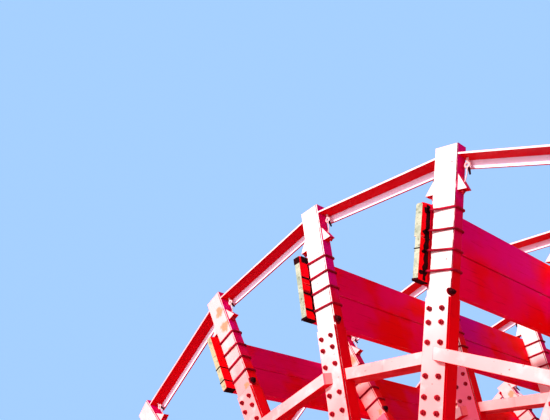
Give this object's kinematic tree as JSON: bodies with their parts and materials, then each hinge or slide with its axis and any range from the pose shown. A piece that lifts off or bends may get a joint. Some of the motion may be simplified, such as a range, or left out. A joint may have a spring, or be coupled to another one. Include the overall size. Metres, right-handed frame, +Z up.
{
  "type": "sternwheel paddle wheel",
  "caption": "Full-size stern paddle wheel with wooden buckets on steel frames, shaft and cranks, turning freely in bearings on two wheel beams and a transom girder.",
  "frame": {"origin": "middle of the transom girder's forward face, which bolts to the boat's stern", "axes": "+X to the bow, +Y to port along the wheel's axis, +Z up"},
  "size_m": [9.4965, 11.7886, 8.5332],
  "materials": {
    "frame_paint": "satin",
    "hub_paint": "satin",
    "bucket_wood": "satin",
    "shaft_steel": "satin",
    "crank_paint": "satin",
    "bearing_iron": "matte",
    "beam_paint": "satin"
  },
  "bodies": {
    "carrier": {"bearing_base_port": "bearing_iron", "bearing_cap_port": "bearing_iron", "wheel_beam_port": "beam_paint", "bearing_base_starboard": "bearing_iron", "bearing_cap_starboard": "bearing_iron", "wheel_beam_starboard": "beam_paint", "transom_girder": "beam_paint"},
    "paddle_wheel": {"ring_frame_1": "frame_paint", "hub_1": "hub_paint", "ring_frame_2": "frame_paint", "hub_2": "hub_paint", "ring_frame_3": "frame_paint", "hub_3": "hub_paint", "ring_frame_4": "frame_paint", "hub_4": "hub_paint", "ring_frame_5": "frame_paint", "hub_5": "hub_paint", "ring_frame_6": "frame_paint", "hub_6": "hub_paint", "bucket_01": "bucket_wood", "bucket_02": "bucket_wood", "bucket_03": "bucket_wood", "bucket_04": "bucket_wood", "bucket_05": "bucket_wood", "bucket_06": "bucket_wood", "bucket_07": "bucket_wood", "bucket_08": "bucket_wood", "bucket_09": "bucket_wood", "bucket_10": "bucket_wood", "bucket_11": "bucket_wood", "bucket_12": "bucket_wood", "bucket_13": "bucket_wood", "bucket_14": "bucket_wood", "bucket_15": "bucket_wood", "bucket_16": "bucket_wood", "bucket_17": "bucket_wood", "bucket_18": "bucket_wood", "wheel_shaft": "shaft_steel", "crank_port": "crank_paint", "crank_pin_port": "shaft_steel", "crank_starboard": "crank_paint", "crank_pin_starboard": "shaft_steel"}
  },
  "joints": [
    {"name": "wheel_spin", "type": "hinge", "parent": "carrier", "child": "paddle_wheel", "pos_m": [-5.25, 0, 0.78], "axis": [0, 1, 0], "continuous": true}
  ]
}
